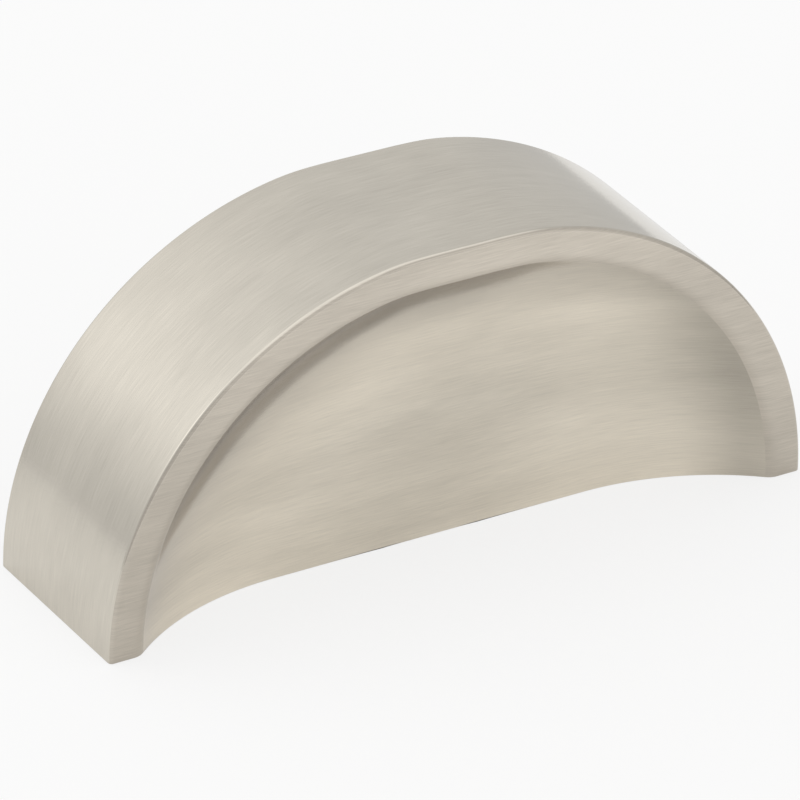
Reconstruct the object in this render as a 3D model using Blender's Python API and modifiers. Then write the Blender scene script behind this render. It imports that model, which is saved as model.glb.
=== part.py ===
"""An arched cup pull: one casting with an outer band, a rounded rim, a dished front and a hollow back.

It is symmetric about x = 0. The front faces -Y, the mounting face is at the back, and it stands on its feet.
"""

import math

import bmesh
import bpy
from mathutils import Matrix

MM = 0.001

# The screws that hold it from behind, at a standard spacing between centres.
SCREW_SPACING = 76.2 * MM
SCREW_HEIGHT = 12.0 * MM

# The arch seen from the front.
END_REACH = 5.9 * MM
HEIGHT = 39.4 * MM
CROWN_FLAT = 14.0 * MM
SHOULDER_CENTRE = 3.3 * MM

# The band, from the mounting face to the front of the rim.
DEPTH = 24.0 * MM
BAND_DRAFT = 0.38 * MM
BACK_EDGE_BREAK = 0.3 * MM

# The rim reaches from the band's face to where its inner edge starts to roll over into the dish.
RIM_WIDTH = 3.25 * MM
RIM_OUTER_ROUND = 0.5 * MM
RIM_INNER_ROUND = 2.0 * MM

# The dish is a hollow arc in section, with a flat floor inside it.
DISH_RADIUS = 29.5 * MM
DISH_DEPTH = 7.4 * MM

# The walls of the casting, seen from behind.
BAND_WALL = 2.6 * MM
PANEL_WALL = 2.4 * MM
HOLLOW_CORNER = 1.5 * MM
HOLLOW_DRAFT = 0.3 * MM

# The bosses behind, each with a blind hole tapped for a 4 mm screw.
BOSS_RADIUS = 3.7 * MM
BOSS_DRAFT = 0.3 * MM
TAPPED_RADIUS = 1.65 * MM
TAPPED_DEPTH = 10.0 * MM
DRILL_POINT = 0.95 * MM
MOUTH_CHAMFER = 0.4 * MM

# How far a cutter reaches past the face that it opens.
OVERRUN = 2.0 * MM

# Facets round each shoulder, along the dish, round each small edge, and round a boss or a hole.
SHOULDER_STEPS = 36
DISH_STEPS = 12
EDGE_STEPS = 4
ROUND_STEPS = 32

# Points this near to a plane lie on it.
ON_PLANE = 1e-7

FRONT = -DEPTH / 2
BACK = DEPTH / 2
QUARTER_TURN = math.pi / 2

# Each shoulder is part of an ellipse, from the end of the short flat crown down to the foot.
HALF_LENGTH = SCREW_SPACING / 2 + END_REACH
SHOULDER_REACH = HALF_LENGTH - SHOULDER_CENTRE
CROWN_ANGLE = math.acos((CROWN_FLAT / 2 - SHOULDER_CENTRE) / SHOULDER_REACH)
SHOULDER_RISE = HEIGHT / math.sin(CROWN_ANGLE)

# A section is drawn as (height under the crown, depth). The dish's arc is centred in front of its floor.
LIP_CENTRE = SHOULDER_RISE - RIM_WIDTH
LIP_OVER_ARC = DISH_RADIUS - DISH_DEPTH + RIM_INNER_ROUND
DISH_RUN = math.sqrt((DISH_RADIUS + RIM_INNER_ROUND) ** 2 - LIP_OVER_ARC**2)
DISH_CENTRE = (LIP_CENTRE - DISH_RUN, FRONT + DISH_DEPTH - DISH_RADIUS)


def clear_scene():
    for item in list(bpy.data.objects):
        bpy.data.objects.remove(item, do_unlink=True)


def new_collection(name):
    collection = bpy.data.collections.new(name)
    bpy.context.scene.collection.children.link(collection)
    return collection


def object_from(mesh, name):
    data = bpy.data.meshes.new(name)
    mesh.to_mesh(data)
    mesh.free()
    return bpy.data.objects.new(name, data)


def arc(centre, radius, start, end, steps):
    """Points on an arc in the section, from one angle to another, both ends included."""
    angles = [start + (end - start) * step / steps for step in range(steps + 1)]
    return [(centre[0] + radius * math.cos(angle), centre[1] + radius * math.sin(angle)) for angle in angles]


def outer_section():
    """The side that shows: from the dish's floor over the rim and along the band to the mounting face."""
    slope = math.atan2(DISH_RUN, LIP_OVER_ARC)
    points = arc(DISH_CENTRE, DISH_RADIUS, QUARTER_TURN, QUARTER_TURN - slope, DISH_STEPS)
    lip = (LIP_CENTRE, FRONT + RIM_INNER_ROUND)
    lip_arc = arc(lip, RIM_INNER_ROUND, -QUARTER_TURN - slope, -QUARTER_TURN, EDGE_STEPS)
    points += lip_arc[1:]
    shoulder = (SHOULDER_RISE - BAND_DRAFT - RIM_OUTER_ROUND, FRONT + RIM_OUTER_ROUND)
    points += arc(shoulder, RIM_OUTER_ROUND, -QUARTER_TURN, 0, EDGE_STEPS)
    points.append((SHOULDER_RISE, BACK - BACK_EDGE_BREAK))
    points.append((SHOULDER_RISE - BACK_EDGE_BREAK, BACK))
    return points


def hollow_section():
    """The finger hollow: behind the dish, round the corner at the rim, and along the inside of the band."""
    wall = SHOULDER_RISE - BAND_WALL
    corner_reach = DISH_RADIUS + PANEL_WALL + HOLLOW_CORNER
    corner_run = wall - HOLLOW_CORNER - DISH_CENTRE[0]
    corner_over_arc = math.sqrt(corner_reach**2 - corner_run**2)
    slope = math.atan2(corner_run, corner_over_arc)
    points = arc(DISH_CENTRE, DISH_RADIUS + PANEL_WALL, QUARTER_TURN, QUARTER_TURN - slope, DISH_STEPS)
    corner = (wall - HOLLOW_CORNER, DISH_CENTRE[1] + corner_over_arc)
    corner_arc = arc(corner, HOLLOW_CORNER, -QUARTER_TURN - slope, 0, EDGE_STEPS)
    points += corner_arc[1:]
    points.append((wall + HOLLOW_DRAFT, BACK + OVERRUN))
    return points


def sweep_shoulder(mesh, section, side, drop):
    """Turns the section from the crown down to one foot. It returns the crown's edges and the foot's points."""
    chain = [mesh.verts.new((0, depth, height)) for height, depth in section]
    links = [mesh.edges.new(pair) for pair in zip(chain, chain[1:])]
    lean = Matrix.Rotation(side * (QUARTER_TURN - CROWN_ANGLE), 3, "Y")
    bmesh.ops.rotate(mesh, verts=chain, matrix=lean)
    end = bmesh.ops.spin(
        mesh, geom=chain + links, axis=(0, side, 0), angle=CROWN_ANGLE, steps=SHOULDER_STEPS
    )["geom_last"]
    foot = [item for item in end if isinstance(item, bmesh.types.BMVert)]
    for vert in foot:
        vert.co.z = 0
    if drop:
        end_links = [item for item in end if isinstance(item, bmesh.types.BMEdge)]
        lowered = bmesh.ops.extrude_edge_only(mesh, edges=end_links)["geom"]
        foot = [item for item in lowered if isinstance(item, bmesh.types.BMVert)]
        bmesh.ops.translate(mesh, verts=foot, vec=(0, 0, -drop))
    return links, foot


def open_edges(mesh, axis, value):
    """The edges on one flat side that still lack a face."""
    return [
        edge
        for edge in mesh.edges
        if len(edge.link_faces) < 2
        and all(abs(vert.co[axis] - value) < ON_PLANE for vert in edge.verts)
    ]


def sweep_arch(name, section, drop=0.0):
    """Takes a section round both shoulders and over the crown, and closes it in front, behind and below."""
    mesh = bmesh.new()
    crown = []
    feet = []
    for side in (1, -1):
        earlier = set(mesh.verts)
        links, foot = sweep_shoulder(mesh, section, side, drop)
        added = [vert for vert in mesh.verts if vert not in earlier]
        bmesh.ops.scale(mesh, verts=added, vec=(SHOULDER_REACH / SHOULDER_RISE, 1, 1))
        bmesh.ops.translate(mesh, verts=added, vec=(side * SHOULDER_CENTRE, 0, 0))
        crown += links
        feet.append(foot)
    bmesh.ops.bridge_loops(mesh, edges=crown)
    first, last = section[0][1], section[-1][1]
    for depth in (first, last):
        mesh.edges.new([next(vert for vert in foot if abs(vert.co.y - depth) < ON_PLANE) for foot in feet])
    for axis, value in ((1, first), (1, last), (2, -drop)):
        bmesh.ops.contextual_create(mesh, geom=open_edges(mesh, axis, value))
    bmesh.ops.recalc_face_normals(mesh, faces=mesh.faces[:])
    return object_from(mesh, name)


def stand_behind(item, side):
    """Puts a turned shape on a screw's axis, with its own Z pointing out of the mounting face."""
    item.location = (side * SCREW_SPACING / 2, BACK, SCREW_HEIGHT)
    item.rotation_euler = (-QUARTER_TURN, 0, 0)
    return item


def screw_boss(name, side):
    """A boss that widens with its draft from the mounting face to the back of the dish, and on past it."""
    mesh = bmesh.new()
    length = DEPTH + 2 * OVERRUN
    bmesh.ops.create_cone(
        mesh,
        cap_ends=True,
        segments=ROUND_STEPS,
        radius1=BOSS_RADIUS + BOSS_DRAFT,
        radius2=BOSS_RADIUS,
        depth=length,
    )
    bmesh.ops.translate(mesh, verts=mesh.verts[:], vec=(0, 0, OVERRUN - length / 2))
    return stand_behind(object_from(mesh, name), side)


def tapped_hole(name, side):
    """A turned cutter: clear of the mounting face, then the mouth's chamfer, the bore and the drill's point."""
    mouth = TAPPED_RADIUS + MOUTH_CHAMFER
    profile = [
        (0, OVERRUN),
        (mouth, OVERRUN),
        (mouth, 0),
        (TAPPED_RADIUS, -MOUTH_CHAMFER),
        (TAPPED_RADIUS, -TAPPED_DEPTH),
        (0, -TAPPED_DEPTH - DRILL_POINT),
    ]
    mesh = bmesh.new()
    verts = [mesh.verts.new((radius, 0, height)) for radius, height in profile]
    for pair in zip(verts, verts[1:]):
        mesh.edges.new(pair)
    hole = stand_behind(object_from(mesh, name), side)
    turn = hole.modifiers.new("turn", "SCREW")
    turn.steps = ROUND_STEPS
    turn.render_steps = ROUND_STEPS
    turn.use_merge_vertices = True
    turn.merge_threshold = 0.00001
    return hole


def cut(target, cutter):
    modifier = target.modifiers.new(cutter.name, "BOOLEAN")
    modifier.operation = "DIFFERENCE"
    modifier.object = cutter
    modifier.solver = "EXACT"


def satin_nickel():
    material = bpy.data.materials.new("satin_nickel")
    material.use_nodes = True
    shader = material.node_tree.nodes["Principled BSDF"]
    shader.inputs["Base Color"].default_value = (0.62, 0.59, 0.54, 1)
    shader.inputs["Metallic"].default_value = 1.0
    shader.inputs["Roughness"].default_value = 0.34
    return material


def pull_body(parts, cutters):
    """The casting: the arch, less a hollow that stops at the bosses, with a blind hole in each boss."""
    body = sweep_arch("pull_body", outer_section())
    parts.objects.link(body)
    hollow = sweep_arch("finger_hollow", hollow_section(), drop=OVERRUN)
    cutters.objects.link(hollow)
    cut(body, hollow)
    for side, label in ((-1, "left"), (1, "right")):
        boss = screw_boss(f"{label}_boss", side)
        cutters.objects.link(boss)
        cut(hollow, boss)
        hole = tapped_hole(f"{label}_tapped_hole", side)
        cutters.objects.link(hole)
        cut(body, hole)
    body.data.materials.append(satin_nickel())
    body.data.shade_smooth()
    body.data.set_sharp_from_angle(angle=math.radians(30))


def main():
    clear_scene()
    parts = new_collection("arch_pull")
    cutters = new_collection("cutters")
    pull_body(parts, cutters)
    for cutter in cutters.objects:
        cutter.hide_render = True
        cutter.display_type = "WIRE"


main()
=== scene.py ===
import math

import bmesh
import bpy
from mathutils import Matrix, Vector


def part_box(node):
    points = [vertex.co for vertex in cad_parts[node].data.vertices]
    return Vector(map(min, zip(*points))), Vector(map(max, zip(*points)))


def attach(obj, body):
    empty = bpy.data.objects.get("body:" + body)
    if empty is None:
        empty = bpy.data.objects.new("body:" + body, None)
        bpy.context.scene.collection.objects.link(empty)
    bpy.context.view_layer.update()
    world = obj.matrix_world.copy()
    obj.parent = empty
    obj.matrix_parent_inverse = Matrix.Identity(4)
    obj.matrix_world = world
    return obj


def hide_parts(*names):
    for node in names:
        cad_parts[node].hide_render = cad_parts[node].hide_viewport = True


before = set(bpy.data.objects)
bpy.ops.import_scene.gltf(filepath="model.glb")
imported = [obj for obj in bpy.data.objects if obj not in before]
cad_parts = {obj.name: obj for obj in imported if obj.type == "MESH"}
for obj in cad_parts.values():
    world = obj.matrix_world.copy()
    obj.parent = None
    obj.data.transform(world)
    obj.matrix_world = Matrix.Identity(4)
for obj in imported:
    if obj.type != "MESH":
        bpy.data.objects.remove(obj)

mm = 0.001
fullTurn = 2 * math.pi
quarterTurn = math.pi / 2
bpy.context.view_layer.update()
low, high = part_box("pull_body")
print("frame loaded")

casting = {  # sizes in millimetres, as in the CAD model
    "crownFlat": 14.0,  # the short straight run at the top of the arch
    "shoulderCentre": 3.3,  # how far each shoulder's ellipse is centred from the middle
    "bandDraft": 0.38,
    "backEdgeRound": 0.35,
    "rimWidth": 3.25,
    "rimOuterRound": 0.5,
    "rimInnerRound": 2.0,
    "dishRadius": 29.5,
    "dishDepth": 7.4,
    "bandWall": 2.6,
    "panelWall": 2.4,
    "hollowCorner": 1.5,
    "hollowDraft": 0.3,
    "footEdgeRound": 0.12,
    "cutterReach": 2.0,  # how far a cutter passes the face that it opens
    "crownEase": 3.5,  # how far to each side the corner at a shoulder is eased
    "crownSteps": 20,
    "shoulderSteps": 110,
    "dishSteps": 40,
    "floorSteps": 6,
    "edgeSteps": 8,
    "footEdgeSteps": 3,
    "sliver": 0.004,  # the cuts leave faces thinner than this, which are merged
    "sharpAngle": 38.0,  # in degrees
}

bosses = {  # two screw bosses behind, sizes in millimetres
    "spacing": 76.2,
    "height": 12.0,
    "radius": 3.7,
    "draft": 0.3,
    "boreRadius": 1.65,
    "boreDepth": 10.0,
    "drillPoint": 0.95,
    "mouthChamfer": 0.4,
    "threadRadius": 1.98,
    "threadPitch": 0.7,
    "threadShare": 0.8,  # how much of the pitch the groove takes up
    "threadOverlap": 0.15,  # how far its cutter stands out of the bore's wall
    "threadTurns": 11,
    "steps": 48,
}

front, back = low.y, high.y
shoulderReach = high.x - casting["shoulderCentre"] * mm
crownAngle = math.acos((casting["crownFlat"] / 2 - casting["shoulderCentre"]) * mm / shoulderReach)
shoulderRise = high.z / math.sin(crownAngle)
lipHeight = shoulderRise - casting["rimWidth"] * mm
lipReach = (casting["dishRadius"] + casting["rimInnerRound"]) * mm
lipOverArc = lipReach - casting["dishDepth"] * mm
dishRun = math.sqrt(lipReach**2 - lipOverArc**2)
dishCentre = (lipHeight - dishRun, front + (casting["dishDepth"] - casting["dishRadius"]) * mm)
floorDepth = dishCentre[1] + casting["dishRadius"] * mm
lipDepth = front + casting["rimInnerRound"] * mm * (1 - lipOverArc / lipReach)
bandFinish, dishFinish, rimFinish, hollowFinish = 0, 1, 2, 3  # material slots of the casting
onPlane = 1e-7
samePoint = 1e-6


def newObject(name, bm):
    mesh = bpy.data.meshes.new(name)
    bm.to_mesh(mesh)
    bm.free()
    obj = bpy.data.objects.new(name, mesh)
    bpy.context.scene.collection.objects.link(obj)
    return obj


def arcPoints(centre, radius, start, end, steps):
    turns = [start + (end - start) * i / steps for i in range(steps + 1)]
    return [(centre[0] + radius * math.cos(t), centre[1] + radius * math.sin(t)) for t in turns]


def outsideSection():  # (height under the crown, depth), from the dish's middle to the mounting face
    c = casting
    slope = math.atan2(dishRun, lipOverArc)
    points = [(dishCentre[0] * i / c["floorSteps"], floorDepth) for i in range(c["floorSteps"])]
    points += arcPoints(dishCentre, c["dishRadius"] * mm, quarterTurn, quarterTurn - slope, c["dishSteps"])
    lip = (lipHeight, front + c["rimInnerRound"] * mm)
    lipArc = arcPoints(lip, c["rimInnerRound"] * mm, -quarterTurn - slope, -quarterTurn, c["edgeSteps"])
    points += lipArc[1:]
    nose = (shoulderRise - (c["bandDraft"] + c["rimOuterRound"]) * mm, front + c["rimOuterRound"] * mm)
    points += arcPoints(nose, c["rimOuterRound"] * mm, -quarterTurn, 0, c["edgeSteps"])
    edge = (shoulderRise - c["backEdgeRound"] * mm, back - c["backEdgeRound"] * mm)
    points += arcPoints(edge, c["backEdgeRound"] * mm, 0, quarterTurn, c["edgeSteps"] // 2)
    return points


def hollowSection():  # behind the dish, round the corner at the rim, and out along the band
    c = casting
    wall = shoulderRise - c["bandWall"] * mm
    cornerRun = wall - c["hollowCorner"] * mm - dishCentre[0]
    cornerReach = (c["dishRadius"] + c["panelWall"] + c["hollowCorner"]) * mm
    cornerOverArc = math.sqrt(cornerReach**2 - cornerRun**2)
    slope = math.atan2(cornerRun, cornerOverArc)
    backRadius = (c["dishRadius"] + c["panelWall"]) * mm
    backDepth = dishCentre[1] + backRadius
    points = [(dishCentre[0] * i / c["floorSteps"], backDepth) for i in range(c["floorSteps"])]
    points += arcPoints(dishCentre, backRadius, quarterTurn, quarterTurn - slope, c["dishSteps"] // 2)
    corner = (wall - c["hollowCorner"] * mm, dishCentre[1] + cornerOverArc)
    cornerArc = arcPoints(corner, c["hollowCorner"] * mm, -quarterTurn - slope, 0, c["edgeSteps"])
    points += cornerArc[1:]
    points.append((wall + c["hollowDraft"] * mm, back + c["cutterReach"] * mm))
    return points


def sweepShoulder(bm, section, side, drop):
    chain = [bm.verts.new((0, depth, height)) for height, depth in section]
    links = [bm.edges.new(pair) for pair in zip(chain, chain[1:])]
    lean = Matrix.Rotation(side * (quarterTurn - crownAngle), 3, "Y")
    bmesh.ops.rotate(bm, verts=chain, matrix=lean)
    end = bmesh.ops.spin(
        bm, geom=chain + links, axis=(0, side, 0), angle=crownAngle, steps=casting["shoulderSteps"]
    )["geom_last"]
    foot = [item for item in end if isinstance(item, bmesh.types.BMVert)]
    for vert in foot:
        vert.co.z = 0
    if drop:
        endLinks = [item for item in end if isinstance(item, bmesh.types.BMEdge)]
        lowered = bmesh.ops.extrude_edge_only(bm, edges=endLinks)["geom"]
        foot = [item for item in lowered if isinstance(item, bmesh.types.BMVert)]
        bmesh.ops.translate(bm, verts=foot, vec=(0, 0, -drop))
    return links, foot


def easeCrown(bm):  # eases the faint corners at the ends of the crown's straight run
    across = [edge for edge in bm.edges if edge.verts[0].co.x * edge.verts[1].co.x < 0]
    bmesh.ops.subdivide_edges(bm, edges=across, cuts=casting["crownSteps"] - 1)
    centre = casting["shoulderCentre"] * mm
    cornerReach = casting["crownFlat"] / 2 * mm - centre
    slope = shoulderRise / shoulderReach / math.tan(crownAngle)
    for vert in bm.verts:
        share = vert.co.z / high.z
        run = casting["crownEase"] * mm * share
        within = run - abs(abs(vert.co.x) - centre - cornerReach * share)
        if within > 0:
            vert.co.z -= slope * within**2 / (4 * run)


def openEdges(bm, axis, value):
    return [
        edge
        for edge in bm.edges
        if len(edge.link_faces) < 2 and all(abs(vert.co[axis] - value) < onPlane for vert in edge.verts)
    ]


def sweepArch(section, drop=0.0):  # round both shoulders and over the crown, closed behind and below
    bm = bmesh.new()
    crown, feet = [], []
    for side in (1, -1):
        earlier = set(bm.verts)
        links, foot = sweepShoulder(bm, section, side, drop)
        added = [vert for vert in bm.verts if vert not in earlier]
        bmesh.ops.scale(bm, verts=added, vec=(shoulderReach / shoulderRise, 1, 1))
        bmesh.ops.translate(bm, verts=added, vec=(side * casting["shoulderCentre"] * mm, 0, 0))
        crown += links
        feet.append(foot)
    bmesh.ops.bridge_loops(bm, edges=crown)
    first, last = section[0][1], section[-1][1]
    depths = (first, last) if drop else (last,)
    for depth in depths:
        ends = [[v for v in foot if abs(v.co.y - depth) < onPlane] for foot in feet]
        pair = [min(found, key=lambda v: abs(v.co.x)) for found in ends]
        bm.edges.new(pair)
    bmesh.ops.remove_doubles(bm, verts=bm.verts[:], dist=samePoint)
    easeCrown(bm)
    if drop:
        bmesh.ops.contextual_create(bm, geom=openEdges(bm, 1, first))
    bmesh.ops.contextual_create(bm, geom=openEdges(bm, 1, last))
    bmesh.ops.contextual_create(bm, geom=openEdges(bm, 2, -drop))
    bmesh.ops.recalc_face_normals(bm, faces=bm.faces[:])
    return bm


def alongBand(x, z):  # distance along the arch from the middle of the crown
    side = math.copysign(1, x)
    centre = casting["shoulderCentre"] * mm
    if abs(x) <= centre:
        return x
    turn = math.atan2((abs(x) - centre) / shoulderReach, max(z, 0) / shoulderRise)
    return side * (centre + turn * (shoulderReach + shoulderRise) / 2)


brushing = {
    "frontLimit": 0.6,  # how far a face's normal has to turn to count as front or back
    "footLimit": 0.9,
    "footHeight": 0.1,  # in millimetres
    "unitsPerMetre": 100,
}


def layBrush(bm, finish=None):  # U runs along the brush marks and V across them, in centimetres
    uv = bm.loops.layers.uv.new("brush")
    wear = bm.loops.layers.uv.new("wear")
    for face in bm.faces:
        normal, middle = face.normal, face.calc_center_median()
        isBack = normal.y > brushing["frontLimit"]
        isFront = normal.y < -brushing["frontLimit"]
        isFoot = normal.z < -brushing["footLimit"] and middle.z < brushing["footHeight"] * mm
        inward = normal.x * middle.x + normal.z * middle.z < onPlane
        inDish = isFront and inward and middle.y > lipDepth
        if finish is not None:
            face.material_index = finish
        elif isBack:
            face.material_index = hollowFinish
        elif inDish:
            face.material_index = dishFinish
        else:
            face.material_index = rimFinish if isFoot or isFront else bandFinish
        # the painted-shade map: up the steep wall towards the dish's right end, and from the crown down
        # towards the feet elsewhere
        rightward = max(-normal.x, 0) / max(math.hypot(normal.x, normal.z), onPlane)
        for loop in face.loops:
            x, y, z = loop.vert.co
            steep = min(max(1 - (y - lipDepth) / (floorDepth - lipDepth), 0), 1)
            loop[wear].uv = (steep * rightward if inDish else 1 - z / high.z, 0)
            if isFront or isBack:
                place = (x, z)
            elif isFoot:
                place = (x, y)
            else:
                place = (alongBand(x, z), y)
            loop[uv].uv = [reach * brushing["unitsPerMetre"] for reach in place]


def standBehind(bm, side):  # a turned shape goes on a screw's axis, its Z out of the mounting face
    place = Matrix.Translation((side * bosses["spacing"] * mm / 2, back, bosses["height"] * mm))
    bmesh.ops.transform(bm, verts=bm.verts[:], matrix=place @ Matrix.Rotation(-quarterTurn, 4, "X"))


def bossCutter(side):
    b = bosses
    bm = bmesh.new()
    reach = casting["cutterReach"] * mm
    length = back - front + 2 * reach
    bmesh.ops.create_cone(
        bm,
        cap_ends=True,
        segments=b["steps"],
        radius1=(b["radius"] + b["draft"]) * mm,
        radius2=b["radius"] * mm,
        depth=length,
    )
    bmesh.ops.translate(bm, verts=bm.verts[:], vec=(0, 0, reach - length / 2))
    standBehind(bm, side)
    layBrush(bm, hollowFinish)
    return newObject("bossCutter", bm)


def holeCutter(side):  # clear of the face, the mouth's chamfer, the bore, the drill's point
    b = bosses
    mouth = b["boreRadius"] + b["mouthChamfer"]
    profile = [
        (0, casting["cutterReach"]),
        (mouth, casting["cutterReach"]),
        (mouth, 0),
        (b["boreRadius"], -b["mouthChamfer"]),
        (b["boreRadius"], -b["boreDepth"]),
        (0, -b["boreDepth"] - b["drillPoint"]),
    ]
    bm = bmesh.new()
    verts = [bm.verts.new((r * mm, 0, z * mm)) for r, z in profile]
    edges = [bm.edges.new(pair) for pair in zip(verts, verts[1:])]
    bmesh.ops.spin(
        bm,
        geom=verts + edges,
        axis=(0, 0, 1),
        angle=fullTurn,
        steps=b["steps"],
        use_merge=True,
    )
    bmesh.ops.remove_doubles(bm, verts=bm.verts[:], dist=samePoint)
    bmesh.ops.recalc_face_normals(bm, faces=bm.faces[:])
    standBehind(bm, side)
    layBrush(bm, hollowFinish)
    return newObject("holeCutter", bm)


def threadCutter(side):  # a three-sided helix that bites into the bore's wall
    b = bosses
    half = b["threadShare"] * b["threadPitch"] / 2
    inner = b["boreRadius"] - b["threadOverlap"]
    bm = bmesh.new()
    corners = [(inner, half), (b["threadRadius"], 0.0), (inner, -half)]
    verts = [bm.verts.new((r * mm, 0, (z - 2 * half) * mm)) for r, z in corners]
    start = bm.faces.new(verts)
    pitchStep = -b["threadPitch"] * mm / b["steps"]
    bmesh.ops.spin(
        bm,
        geom=[start] + verts + start.edges[:],
        axis=(0, 0, 1),
        dvec=(0, 0, pitchStep),
        angle=fullTurn * b["threadTurns"],
        steps=b["steps"] * b["threadTurns"],
    )
    halfStep = Matrix.Rotation(fullTurn / b["steps"] / 2, 3, "Z")  # clear of the bore's own edges
    bmesh.ops.rotate(bm, verts=bm.verts[:], matrix=halfStep)
    bmesh.ops.recalc_face_normals(bm, faces=bm.faces[:])
    standBehind(bm, side)
    layBrush(bm, hollowFinish)
    return newObject("threadCutter", bm)


def cutFrom(target, cutter):
    modifier = target.modifiers.new("cut", "BOOLEAN")
    modifier.operation = "DIFFERENCE"
    modifier.object = cutter
    modifier.solver = "EXACT"
    bpy.context.view_layer.update()
    made = target.evaluated_get(bpy.context.evaluated_depsgraph_get())
    mesh = bpy.data.meshes.new_from_object(made)
    target.modifiers.clear()
    old = target.data
    target.data = mesh
    bpy.data.meshes.remove(old)
    bpy.data.objects.remove(cutter)


def mergeSlivers(obj):  # closes up the hair-thin faces that the cuts leave
    bm = bmesh.new()
    bm.from_mesh(obj.data)
    bmesh.ops.remove_doubles(bm, verts=bm.verts[:], dist=casting["sliver"] * mm)
    bmesh.ops.dissolve_degenerate(bm, edges=bm.edges[:], dist=casting["sliver"] * mm)
    bm.to_mesh(obj.data)
    bm.free()


def makeCasting(materials):
    outside = sweepArch(outsideSection())
    bottom = [face for face in outside.faces if all(abs(v.co.z) < onPlane for v in face.verts)]
    bmesh.ops.bevel(
        outside,
        geom=[edge for face in bottom for edge in face.edges],
        offset=casting["footEdgeRound"] * mm,
        offset_type="OFFSET",
        segments=casting["footEdgeSteps"],
        profile=0.5,
        affect="EDGES",
        material=-1,
        clamp_overlap=False,
    )
    layBrush(outside)
    body = newObject("pullCasting", outside)
    inside = sweepArch(hollowSection(), drop=casting["cutterReach"] * mm)
    layBrush(inside, hollowFinish)
    hollow = newObject("hollowCutter", inside)
    for obj in (body, hollow):
        for material in materials:
            obj.data.materials.append(material)
    for side in (-1, 1):
        cutFrom(hollow, bossCutter(side))
    cutFrom(body, hollow)
    for side in (-1, 1):
        cutFrom(body, holeCutter(side))
        cutFrom(body, threadCutter(side))
    mergeSlivers(body)
    body.data.shade_smooth()
    body.data.set_sharp_from_angle(angle=math.radians(casting["sharpAngle"]))
    evenNormals = body.modifiers.new("evenNormals", "WEIGHTED_NORMAL")  # flats stay flat by the rounds
    evenNormals.keep_sharp = True
    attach(body, "root")
    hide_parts("pull_body")
    return body


nickel = {  # pattern scales are counts per centimetre, along and across the brush marks
    "roughnessSpread": 0.06,
    "anisotropy": 0.5,
    "brushTurn": 0.25,  # a quarter turn, so that the gloss spreads across the marks
    "hairScale": (2.5, 75.0),
    "hairDetail": 3.0,
    "hairDepth": 0.002,  # in millimetres
    "streakScale": (0.5, 9.0),
    "streakDetail": 4.0,
    "streakShift": 50.0,
    "patchDetail": 2.0,
    "noiseRoughness": 0.6,
    "finishShift": 10.0,  # so that no two finishes show the same marks
}

finishes = {
    "bandNickel": {
        "color": (0.659, 0.618, 0.542),
        "edgeTint": (1.0, 1.0, 1.0, 1),
        "roughness": 0.12,
        "hairShare": 0.22,
        "streakShare": 0.09,
        "patchScale": (0.7, 0.9),
        "patchPlace": (6.0, 12.0),
        "patchShare": 0.16,
    },
    "dishNickel": {
        # painted light: lighter and warmer than the band's colour, for the bright, warm floor that the
        # dish reflects
        "color": (0.765, 0.708, 0.608),
        "edgeTint": (0.76, 0.77, 0.81, 1),
        "roughness": 0.12,
        "hairShare": 0.22,
        "streakShare": 0.09,
        # broad lighter and darker patches, strong on the dish, at a given place
        "patchScale": (0.2, 0.7),
        "patchPlace": (52.8, 59.5),
        "patchShare": 0.70,
        "wear": {"start": 0.17, "end": 0.85, "tone": 0.66},  # painted shade: darker up the steep wall towards the dish's right end, for the dark surroundings that it reflects
    },
    "rimNickel": {
        # painted reflection: warmer than the band's colour, for the warm floor that the rim reflects
        "color": (0.632, 0.579, 0.502),
        "edgeTint": (1.0, 1.0, 1.0, 1),
        "roughness": 0.12,
        "hairShare": 0.34,
        "streakShare": 0.13,
        "patchScale": (0.4, 0.9),
        "patchPlace": (16.0, 32.0),
        "patchShare": 0.30,
        "wear": {"start": 0.12, "end": 0.60, "tone": 0.89},  # painted shade: darker towards the feet, for the shaded floor by the feet that the rim reflects
    },
    "hollowNickel": {
        "color": (0.600, 0.560, 0.485),
        "edgeTint": (1.0, 1.0, 1.0, 1),
        "roughness": 0.27,
        "hairShare": 0.20,
        "streakShare": 0.09,
        "patchScale": (0.7, 0.9),
        "patchPlace": (26.0, 52.0),
        "patchShare": 0.16,
    },
}


def addNode(owner, kind, **settings):  # the owner is a material or the world
    node = owner.node_tree.nodes.new(kind)
    for name, value in settings.items():
        if hasattr(node, name):
            setattr(node, name, value)
        else:
            node.inputs[name].default_value = value
    return node


def mathNode(owner, operation, first, second=None, third=None):
    node = addNode(owner, "ShaderNodeMath", operation=operation)
    for socket, value in zip(node.inputs, (first, second, third)):
        if isinstance(value, bpy.types.NodeSocket):
            owner.node_tree.links.new(value, socket)
        elif value is not None:
            socket.default_value = value
    return node.outputs["Value"]


def brushNoise(material, scale, detail, place):  # noise along the brush marks, centred on nought
    links = material.node_tree.links
    uv = addNode(material, "ShaderNodeUVMap", uv_map="brush")
    mapping = addNode(material, "ShaderNodeMapping", Scale=(*scale, 1), Location=(*place, 0))
    noise = addNode(material, "ShaderNodeTexNoise", noise_dimensions="2D", Scale=1.0, Detail=detail)
    noise.inputs["Roughness"].default_value = nickel["noiseRoughness"]
    links.new(uv.outputs["UV"], mapping.inputs["Vector"])
    links.new(mapping.outputs["Vector"], noise.inputs["Vector"])
    return mathNode(material, "SUBTRACT", noise.outputs["Fac"], 0.5)


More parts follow.
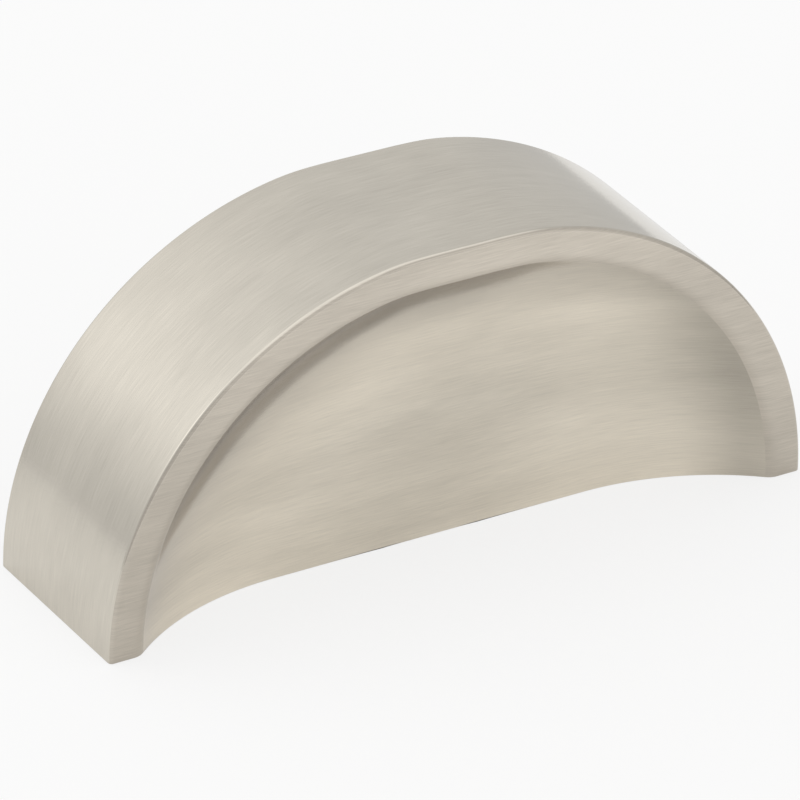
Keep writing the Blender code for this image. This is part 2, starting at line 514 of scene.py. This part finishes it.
# painted shade: darkens a finish's colour along the painted-shade map, from start to end, down to the
# given tone
def paintedShadeTone(material, shadeRange):
    links = material.node_tree.links
    wear = addNode(material, "ShaderNodeUVMap", uv_map="wear")
    split = addNode(material, "ShaderNodeSeparateXYZ")
    paintedDark = addNode(material, "ShaderNodeMapRange", interpolation_type="SMOOTHSTEP")
    paintedDark.inputs["From Min"].default_value = shadeRange["start"]
    paintedDark.inputs["From Max"].default_value = shadeRange["end"]
    paintedDark.inputs["To Min"].default_value = 1
    paintedDark.inputs["To Max"].default_value = shadeRange["tone"]
    links.new(wear.outputs["UV"], split.inputs["Vector"])
    links.new(split.outputs["X"], paintedDark.inputs["Value"])
    return paintedDark.outputs["Result"]


def brushedNickel(name, place):
    finish = finishes[name]
    material = bpy.data.materials.new(name)
    material.use_nodes = True
    links = material.node_tree.links
    shader = material.node_tree.nodes["Principled BSDF"]
    shader.inputs["Metallic"].default_value = 1
    shader.inputs["Specular Tint"].default_value = finish["edgeTint"]
    shader.inputs["Anisotropic"].default_value = nickel["anisotropy"]
    shader.inputs["Anisotropic Rotation"].default_value = nickel["brushTurn"]
    tangent = addNode(material, "ShaderNodeTangent", direction_type="UV_MAP", uv_map="brush")
    links.new(tangent.outputs["Tangent"], shader.inputs["Tangent"])
    hair = brushNoise(material, nickel["hairScale"], nickel["hairDetail"], (place, 0))
    streakPlace = (place, nickel["streakShift"])
    streak = brushNoise(material, nickel["streakScale"], nickel["streakDetail"], streakPlace)
    patches = brushNoise(material, finish["patchScale"], nickel["patchDetail"], finish["patchPlace"])
    tone = mathNode(material, "MULTIPLY_ADD", hair, finish["hairShare"], 1.0)
    tone = mathNode(material, "MULTIPLY_ADD", streak, finish["streakShare"], tone)
    tone = mathNode(material, "MULTIPLY_ADD", patches, finish["patchShare"], tone)
    # painted shade on the dish's right end and on the rim towards the feet
    if "wear" in finish:
        tone = mathNode(material, "MULTIPLY", tone, paintedShadeTone(material, finish["wear"]))
    paint = addNode(material, "ShaderNodeVectorMath", operation="SCALE")
    paint.inputs[0].default_value = finish["color"]
    links.new(tone, paint.inputs["Scale"])
    links.new(paint.outputs["Vector"], shader.inputs["Base Color"])
    rough = mathNode(material, "MULTIPLY_ADD", patches, nickel["roughnessSpread"], finish["roughness"])
    rough = mathNode(material, "MULTIPLY_ADD", streak, nickel["roughnessSpread"], rough)
    links.new(rough, shader.inputs["Roughness"])
    bump = addNode(material, "ShaderNodeBump", Strength=1.0, Distance=nickel["hairDepth"] * mm)
    links.new(hair, bump.inputs["Height"])
    links.new(bump.outputs["Normal"], shader.inputs["Normal"])
    return material


makeCasting([brushedNickel(name, nickel["finishShift"] * index) for index, name in enumerate(finishes)])
print("casting made")

camera = {  # found from the photo's perspective; lengths in metres, angles in degrees
    "target": (-0.000145, 0.00204, 0.01371),
    "azimuth": -30.905,
    "elevation": 28.833,
    "roll": 1.11,
    "distance": 0.6913,
    "lens": 284.94,  # in millimetres, as the sensor's width is
    "sensorWidth": 36,
    "clipStart": 0.01,
}


def awayFrom(azimuth, elevation):  # a direction out from the object, azimuth 0 in front of it
    azimuth, elevation = math.radians(azimuth), math.radians(elevation)
    return Vector((
        math.sin(azimuth) * math.cos(elevation),
        -math.cos(azimuth) * math.cos(elevation),
        math.sin(elevation),
    ))


def placeCamera():
    backward = awayFrom(camera["azimuth"], camera["elevation"])
    right = Vector((0, 0, 1)).cross(backward).normalized()
    up = backward.cross(right)
    roll = Matrix.Rotation(math.radians(camera["roll"]), 3, "Z")
    turn = Matrix((right, up, backward)).transposed() @ roll
    data = bpy.data.cameras.new("camera")
    data.sensor_width = camera["sensorWidth"]
    data.lens = camera["lens"]
    data.clip_start = camera["clipStart"]
    obj = bpy.data.objects.new("camera", data)
    place = Vector(camera["target"]) + backward * camera["distance"]
    obj.matrix_world = Matrix.Translation(place) @ turn.to_4x4()
    bpy.context.scene.collection.objects.link(obj)
    bpy.context.scene.camera = obj


placeCamera()
print("camera placed")

studio = {  # lengths in metres, light levels as a mirror would show them
    "level": 0.62,
    "floorSize": 3.0,
    "floorColor": (0.93, 0.93, 0.925, 1),
    "floorWhiteSeen": 0.75,
    "floorWhiteReflected": 0.30,
    "paperReach": (0.222, 0.236),  # reflections show the studio beyond this far from the middle
    "leftFade": (0.04, 0.20),  # and more and more of it behind on the left
    "leftFadeAzimuth": -137.0,
}

overhead = {"start": 42.0, "full": 66.0, "level": 0.45}  # a ceiling of light, elevations in degrees

softLights = {  # wide soft lights that add to the studio's level, angles in degrees
    "backLeft": {"azimuth": -125.0, "elevation": 31.0, "halfWidth": 15.0, "level": 0.78},
    "behind": {"azimuth": -160.0, "elevation": 35.0, "halfWidth": 30.0, "level": 0.31},
    "backRight": {"azimuth": 158.0, "elevation": 13.0, "halfWidth": 12.5, "level": 0.25},
    "frontRight": {"azimuth": 28.0, "elevation": 8.0, "halfWidth": 14.0, "level": 0.18},
    "front": {"azimuth": 0.0, "elevation": 25.0, "halfWidth": 35.0, "level": 0.15},
}


def makeFloor():
    bm = bmesh.new()
    bmesh.ops.create_grid(bm, x_segments=1, y_segments=1, size=studio["floorSize"] / 2)
    floor = newObject("floor", bm)
    material = bpy.data.materials.new("floorPaper")
    material.use_nodes = True
    nodes, links = material.node_tree.nodes, material.node_tree.links
    paper = nodes["Principled BSDF"]
    paper.inputs["Base Color"].default_value = studio["floorColor"]
    paper.inputs["Roughness"].default_value = 1
    paper.inputs["Specular IOR Level"].default_value = 0
    glow = nodes.new("ShaderNodeEmission")
    path = nodes.new("ShaderNodeLightPath")
    seen = mathNode(material, "MULTIPLY", path.outputs["Is Camera Ray"], studio["floorWhiteSeen"])
    glossy, transmitted = path.outputs["Is Glossy Ray"], path.outputs["Is Transmission Ray"]
    reflected = mathNode(material, "MAXIMUM", glossy, transmitted)
    share = mathNode(material, "MULTIPLY_ADD", reflected, studio["floorWhiteReflected"], seen)
    mix = nodes.new("ShaderNodeMixShader")
    links.new(share, mix.inputs["Fac"])
    links.new(paper.outputs["BSDF"], mix.inputs[1])
    links.new(glow.outputs["Emission"], mix.inputs[2])
    place = addNode(material, "ShaderNodeTexCoord")
    away = addNode(material, "ShaderNodeVectorMath", operation="LENGTH")
    links.new(place.outputs["Object"], away.inputs[0])
    leftwards = addNode(material, "ShaderNodeVectorMath", operation="DOT_PRODUCT")
    leftwards.inputs[1].default_value = awayFrom(studio["leftFadeAzimuth"], 0)
    links.new(place.outputs["Object"], leftwards.inputs[0])
    fades = []
    for distance, reach in ((away, studio["paperReach"]), (leftwards, studio["leftFade"])):
        fade = addNode(material, "ShaderNodeMapRange", interpolation_type="SMOOTHSTEP")
        fade.inputs["From Min"].default_value = reach[0]
        fade.inputs["From Max"].default_value = reach[1]
        links.new(distance.outputs["Value"], fade.inputs["Value"])
        fades.append(fade.outputs["Result"])
    missing = mathNode(material, "MULTIPLY", reflected, mathNode(material, "MAXIMUM", *fades))
    clear = nodes.new("ShaderNodeBsdfTransparent")
    sheet = nodes.new("ShaderNodeMixShader")
    links.new(missing, sheet.inputs["Fac"])
    links.new(mix.outputs["Shader"], sheet.inputs[1])
    links.new(clear.outputs["BSDF"], sheet.inputs[2])
    links.new(sheet.outputs["Shader"], nodes["Material Output"].inputs["Surface"])
    floor.data.materials.append(material)


def lightStudio():
    world = bpy.data.worlds.new("studio")
    bpy.context.scene.world = world
    world.use_nodes = True
    links = world.node_tree.links
    place = addNode(world, "ShaderNodeTexCoord")
    split = addNode(world, "ShaderNodeSeparateXYZ")
    links.new(place.outputs["Generated"], split.inputs["Vector"])
    ceiling = addNode(world, "ShaderNodeMapRange", interpolation_type="SMOOTHSTEP")
    ceiling.inputs["From Min"].default_value = math.sin(math.radians(overhead["start"]))
    ceiling.inputs["From Max"].default_value = math.sin(math.radians(overhead["full"]))
    ceiling.inputs["To Max"].default_value = overhead["level"]
    links.new(split.outputs["Z"], ceiling.inputs["Value"])
    level = mathNode(world, "ADD", ceiling.outputs["Result"], studio["level"])
    for light in softLights.values():
        facing = addNode(world, "ShaderNodeVectorMath", operation="DOT_PRODUCT")
        links.new(place.outputs["Generated"], facing.inputs[0])
        facing.inputs[1].default_value = awayFrom(light["azimuth"], light["elevation"])
        falloff = math.log(2) / (1 - math.cos(math.radians(light["halfWidth"])))
        power = mathNode(world, "MULTIPLY_ADD", facing.outputs["Value"], falloff, -falloff)
        glow = mathNode(world, "EXPONENT", power)
        level = mathNode(world, "MULTIPLY_ADD", glow, light["level"], level)
    background = world.node_tree.nodes["Background"]
    background.inputs["Color"].default_value = (1, 1, 1, 1)
    links.new(level, background.inputs["Strength"])


makeFloor()
lightStudio()
bpy.context.scene.view_settings.view_transform = "Standard"
print("studio lit")
